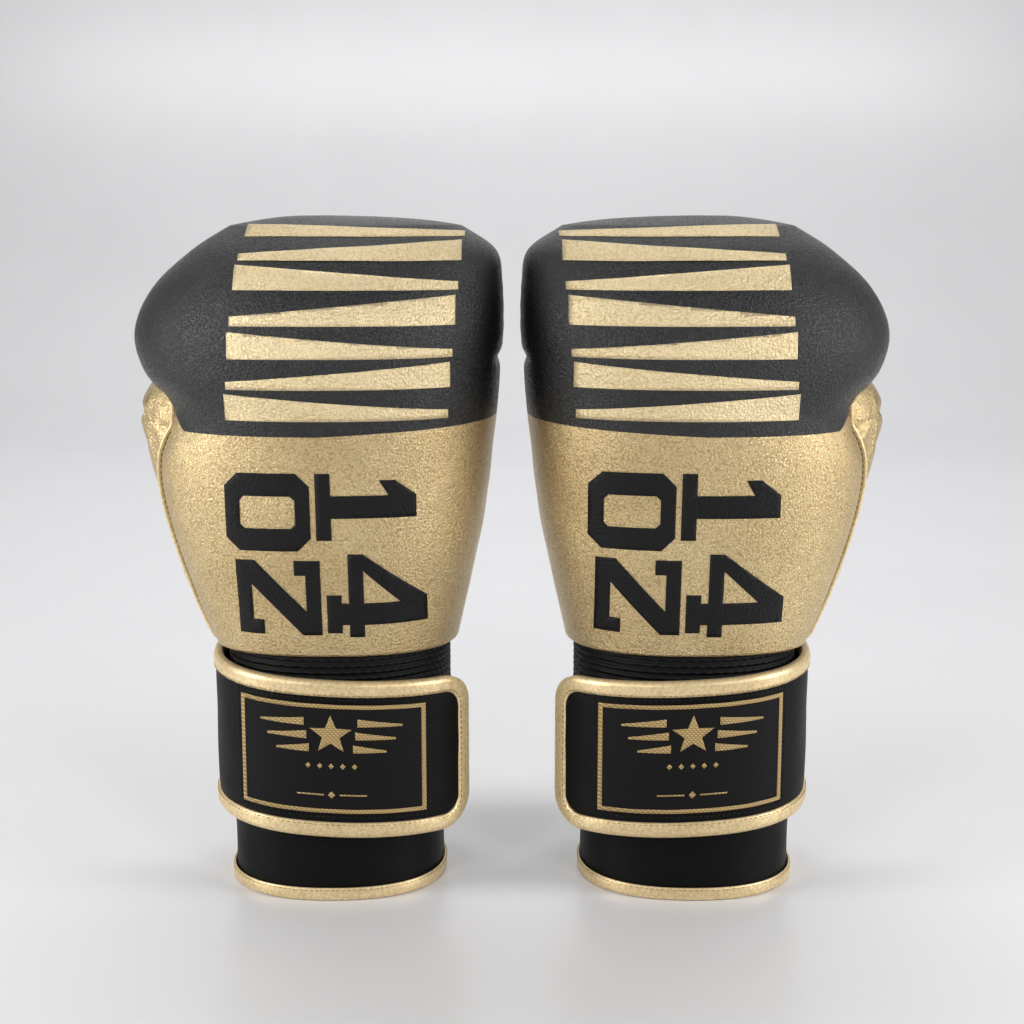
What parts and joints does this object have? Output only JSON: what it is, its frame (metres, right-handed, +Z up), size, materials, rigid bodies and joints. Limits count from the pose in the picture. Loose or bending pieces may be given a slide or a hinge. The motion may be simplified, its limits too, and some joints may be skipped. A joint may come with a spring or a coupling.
{
  "type": "pair of boxing gloves",
  "caption": "Pair of padded leather boxing gloves with attached thumbs, mesh wrists, bound cuffs and wrap-around hook-and-loop straps, standing on their cuffs.",
  "frame": {"origin": "on the surface the gloves stand on, midway between them and midway from back to palm", "axes": "+Z up along the hands toward the knuckles, +X from the right-hand glove to the left-hand glove, +Y from the backs of the hands to the palms"},
  "size_m": [0.3604, 0.1544, 0.32],
  "materials": {
    "gold_leather": "pebble-grained with a metallic film",
    "black_leather": "satin, finely grained",
    "padding": "layered foam, matt",
    "lining_fabric": "woven, matt",
    "wrist_mesh": "ribbed mesh",
    "hook_and_loop": "napped, matt"
  },
  "bodies": {
    "right_cuff": {"right_cuff_shell": "black_leather", "right_cuff_foam": "padding", "right_cuff_lining": "lining_fabric", "right_cuff_binding": "gold_leather", "right_loop_patch": "hook_and_loop", "right_wrist_band": "wrist_mesh"},
    "right_mitt": {"right_back_panel": "gold_leather", "right_side_panel": "black_leather", "right_thumb_side_panel": "gold_leather", "right_finger_panel": "black_leather", "right_palm_panel": "black_leather", "right_back_foam": "padding", "right_knuckle_foam": "padding", "right_crown_foam": "padding", "right_finger_foam": "padding", "right_palm_foam": "padding", "right_hand_lining": "lining_fabric", "right_grip_bar": "lining_fabric", "right_thumb_shell": "gold_leather", "right_thumb_foam": "padding", "right_thumb_lining": "lining_fabric", "right_thumb_seam_piping": "gold_leather"},
    "right_bridge": {"right_strap_bridge": "black_leather", "right_bridge_upper_binding": "gold_leather", "right_bridge_lower_binding": "gold_leather"},
    "right_flap": {"right_strap_flap": "black_leather", "right_flap_binding": "gold_leather", "right_hook_patch": "hook_and_loop", "right_label_patch": "black_leather"},
    "left_cuff": {"left_cuff_shell": "black_leather", "left_cuff_foam": "padding", "left_cuff_lining": "lining_fabric", "left_cuff_binding": "gold_leather", "left_loop_patch": "hook_and_loop", "left_wrist_band": "wrist_mesh"},
    "left_mitt": {"left_back_panel": "gold_leather", "left_side_panel": "black_leather", "left_thumb_side_panel": "gold_leather", "left_finger_panel": "black_leather", "left_palm_panel": "black_leather", "left_back_foam": "padding", "left_knuckle_foam": "padding", "left_crown_foam": "padding", "left_finger_foam": "padding", "left_palm_foam": "padding", "left_hand_lining": "lining_fabric", "left_grip_bar": "lining_fabric", "left_thumb_shell": "gold_leather", "left_thumb_foam": "padding", "left_thumb_lining": "lining_fabric", "left_thumb_seam_piping": "gold_leather"},
    "left_bridge": {"left_strap_bridge": "black_leather", "left_bridge_upper_binding": "gold_leather", "left_bridge_lower_binding": "gold_leather"},
    "left_flap": {"left_strap_flap": "black_leather", "left_flap_binding": "gold_leather", "left_hook_patch": "hook_and_loop", "left_label_patch": "black_leather"}
  },
  "joints": [
    {"name": "gloves_apart", "type": "slide", "parent": "right_cuff", "child": "left_cuff", "axis": [1, 0, 0], "range_m": [0, 0.15]},
    {"name": "right_wrist_flex", "type": "hinge", "parent": "right_cuff", "child": "right_mitt", "pos_m": [-0.0855, -0.00675, 0.106], "axis": [1, 0, 0], "range_deg": [-12, 8], "stiffness_Nm_per_rad": 4, "deforming": ["right_wrist_band"]},
    {"name": "right_strap_lift", "type": "hinge", "parent": "right_cuff", "child": "right_bridge", "pos_m": [-0.0412, 0.03345, 0.068], "axis": [0, 0, -1], "range_deg": [0, 24]},
    {"name": "right_strap_peel", "type": "hinge", "parent": "right_bridge", "child": "right_flap", "pos_m": [-0.1451, -0.00525, 0.075], "axis": [0, 0, -1], "range_deg": [0, 120]},
    {"name": "left_wrist_flex", "type": "hinge", "parent": "left_cuff", "child": "left_mitt", "pos_m": [0.0855, -0.00675, 0.106], "axis": [1, 0, 0], "range_deg": [-12, 8], "stiffness_Nm_per_rad": 4, "deforming": ["left_wrist_band"]},
    {"name": "left_strap_lift", "type": "hinge", "parent": "left_cuff", "child": "left_bridge", "pos_m": [0.0412, 0.03345, 0.068], "axis": [0, 0, 1], "range_deg": [0, 24]},
    {"name": "left_strap_peel", "type": "hinge", "parent": "left_bridge", "child": "left_flap", "pos_m": [0.1451, -0.00525, 0.075], "axis": [0, 0, 1], "range_deg": [0, 120]}
  ],
  "couplings": [
    {"joint": "right_strap_lift", "follows": "right_strap_peel", "ratio": 0.2},
    {"joint": "left_strap_lift", "follows": "left_strap_peel", "ratio": 0.2}
  ]
}
